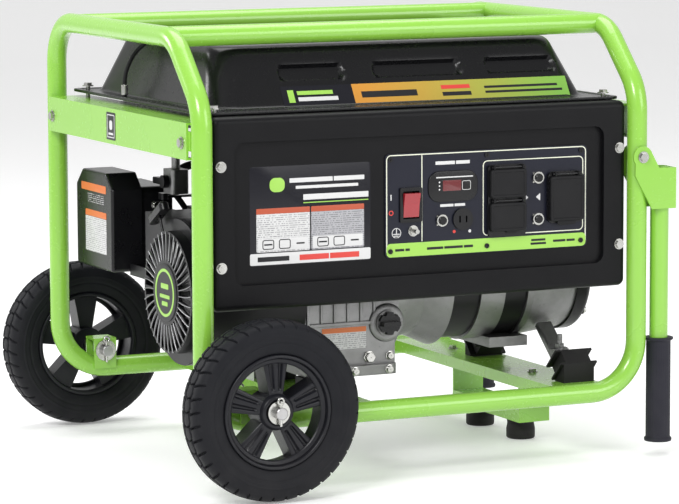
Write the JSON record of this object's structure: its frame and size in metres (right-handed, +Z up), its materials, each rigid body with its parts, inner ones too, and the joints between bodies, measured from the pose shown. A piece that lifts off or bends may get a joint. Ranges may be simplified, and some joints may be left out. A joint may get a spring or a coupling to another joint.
{
  "type": "portable generator",
  "caption": "Open-frame portable generator with a bent tube frame, black tank and control cover, recoil-start engine, alternator, two wheels and fold-down handles.",
  "frame": {"origin": "on the ground, midway between the frame's uprights in both directions", "axes": "+Z up; -Y is the side with the control panel; +X is the end with the fold-down handles, -X the end with the wheels"},
  "size_m": [0.77, 0.754, 0.614],
  "materials": {
    "green_paint": "gloss powder coat",
    "black_panel": "fine textured moulding",
    "tank_black": "satin black paint",
    "engine_black": "satin black paint",
    "control_face": "printed panel",
    "black_plastic": "smooth moulding",
    "soft_rubber": "matt",
    "tyre_rubber": "matt",
    "rim_plastic": "satin moulding",
    "cast_aluminium": "die cast",
    "steel_core": "laminated",
    "zinc": "bright zinc",
    "machined_steel": "turned",
    "muffler_steel": "heat resistant paint",
    "red_lens": "translucent",
    "grip_rubber": "matt foam rubber"
  },
  "bodies": {
    "frame": {"left_frame_tube": "green_paint", "right_frame_tube": "green_paint", "cross_rails": "green_paint", "axle_brackets": "green_paint", "axles": "machined_steel", "axle_washers_and_pins": "zinc", "support_leg": "green_paint", "rubber_feet": "soft_rubber", "tank_braces": "green_paint", "frame_bolts": "zinc", "handle_pivot_bolts": "zinc", "control_cover": "black_panel", "control_plate": "control_face", "plate_screws": "black_plastic", "digital_meter": "black_plastic", "switch_bezel": "black_plastic", "ground_terminal": "zinc", "dc_outlet": "black_plastic", "duplex_outlet": "black_plastic", "twist_lock_outlet": "black_plastic", "breaker_bodies": "zinc", "fuel_tank": "tank_black", "vent_hose": "soft_rubber", "engine_block": "cast_aluminium", "cylinder_head": "cast_aluminium", "valve_cover": "engine_black", "fan_shroud": "engine_black", "recoil_cover": "engine_black", "muffler": "muffler_steel", "carburettor": "cast_aluminium", "air_cleaner_base": "black_plastic", "air_cleaner_cover": "black_plastic", "alternator_housing": "cast_aluminium", "stator": "engine_black", "end_bell": "cast_aluminium", "end_cover": "engine_black", "rubber_mounts": "soft_rubber"},
    "crank_set": {"crankshaft": "machined_steel", "flywheel_fan": "cast_aluminium", "rotor": "steel_core"},
    "front_wheel": {"front_rim": "rim_plastic", "front_tyre": "tyre_rubber"},
    "rear_wheel": {"rear_rim": "rim_plastic", "rear_tyre": "tyre_rubber"},
    "front_handle_arm": {"front_handle": "green_paint", "front_grip": "grip_rubber"},
    "rear_handle_arm": {"rear_handle": "green_paint", "rear_grip": "grip_rubber"},
    "fuel_cap_body": {"fuel_cap": "zinc"},
    "engine_switch": {"switch_rocker": "red_lens"},
    "dc_breaker": {"dc_breaker_button": "black_plastic"},
    "upper_breaker": {"upper_breaker_button": "black_plastic"},
    "lower_breaker": {"lower_breaker_button": "black_plastic"},
    "choke": {"choke_lever": "black_plastic"},
    "fuel_valve": {"fuel_valve_lever": "black_plastic"},
    "starter": {"starter_grip": "black_plastic"},
    "upper_cover": {"upper_outlet_cover": "soft_rubber"},
    "lower_cover": {"lower_outlet_cover": "soft_rubber"},
    "twist_cover": {"twist_lock_cover": "soft_rubber"},
    "oil_plug": {"oil_filler_plug": "black_plastic"}
  },
  "joints": [
    {"name": "crank_turn", "type": "hinge", "parent": "frame", "child": "crank_set", "pos_m": [0, -0.085, 0.247], "axis": [1, 0, 0], "continuous": true},
    {"name": "front_wheel_roll", "type": "hinge", "parent": "frame", "child": "front_wheel", "pos_m": [-0.2645, -0.34, 0.1205], "axis": [0, 1, 0], "continuous": true},
    {"name": "rear_wheel_roll", "type": "hinge", "parent": "frame", "child": "rear_wheel", "pos_m": [-0.2645, 0.34, 0.1205], "axis": [0, 1, 0], "continuous": true},
    {"name": "front_handle_fold", "type": "hinge", "parent": "frame", "child": "front_handle_arm", "pos_m": [0.3275, -0.2645, 0.421], "axis": [0, -1, 0], "range_deg": [0, 88]},
    {"name": "rear_handle_fold", "type": "hinge", "parent": "frame", "child": "rear_handle_arm", "pos_m": [0.3275, 0.2645, 0.421], "axis": [0, -1, 0], "range_deg": [0, 88]},
    {"name": "fuel_cap_turn", "type": "hinge", "parent": "frame", "child": "fuel_cap_body", "pos_m": [-0.188, -0.01, 0.59], "axis": [0, 0, 1], "range_deg": [0, 90]},
    {"name": "switch_rock", "type": "hinge", "parent": "frame", "child": "engine_switch", "pos_m": [-0.02, -0.256, 0.37], "axis": [-1, 0, 0], "range_deg": [0, 16]},
    {"name": "dc_breaker_pop", "type": "slide", "parent": "frame", "child": "dc_breaker", "axis": [0, -1, 0], "range_m": [0, 0.004]},
    {"name": "upper_breaker_pop", "type": "slide", "parent": "frame", "child": "upper_breaker", "axis": [0, -1, 0], "range_m": [0, 0.004]},
    {"name": "lower_breaker_pop", "type": "slide", "parent": "frame", "child": "lower_breaker", "axis": [0, -1, 0], "range_m": [0, 0.004]},
    {"name": "choke_swing", "type": "hinge", "parent": "frame", "child": "choke", "pos_m": [-0.2, 0.066, 0.361], "axis": [0, 0, 1], "range_deg": [-35, 0]},
    {"name": "fuel_valve_turn", "type": "hinge", "parent": "frame", "child": "fuel_valve", "pos_m": [-0.257, 0.034, 0.386], "axis": [1, 0, 0], "range_deg": [-90, 0]},
    {"name": "starter_pull", "type": "slide", "parent": "frame", "child": "starter", "axis": [0, 0.5, 0.866], "range_m": [0, 0.06]},
    {"name": "upper_cover_flip", "type": "hinge", "parent": "frame", "child": "upper_cover", "pos_m": [0.125, -0.267, 0.4155], "axis": [-1, 0, 0], "range_deg": [0, 105]},
    {"name": "lower_cover_flip", "type": "hinge", "parent": "frame", "child": "lower_cover", "pos_m": [0.125, -0.267, 0.3695], "axis": [-1, 0, 0], "range_deg": [0, 105]},
    {"name": "twist_cover_flip", "type": "hinge", "parent": "frame", "child": "twist_cover", "pos_m": [0.216, -0.267, 0.4022], "axis": [-1, 0, 0], "range_deg": [0, 105]},
    {"name": "oil_plug_turn", "type": "hinge", "parent": "frame", "child": "oil_plug", "pos_m": [-0.013, -0.18, 0.198], "axis": [0, -1, 0], "continuous": true}
  ]
}
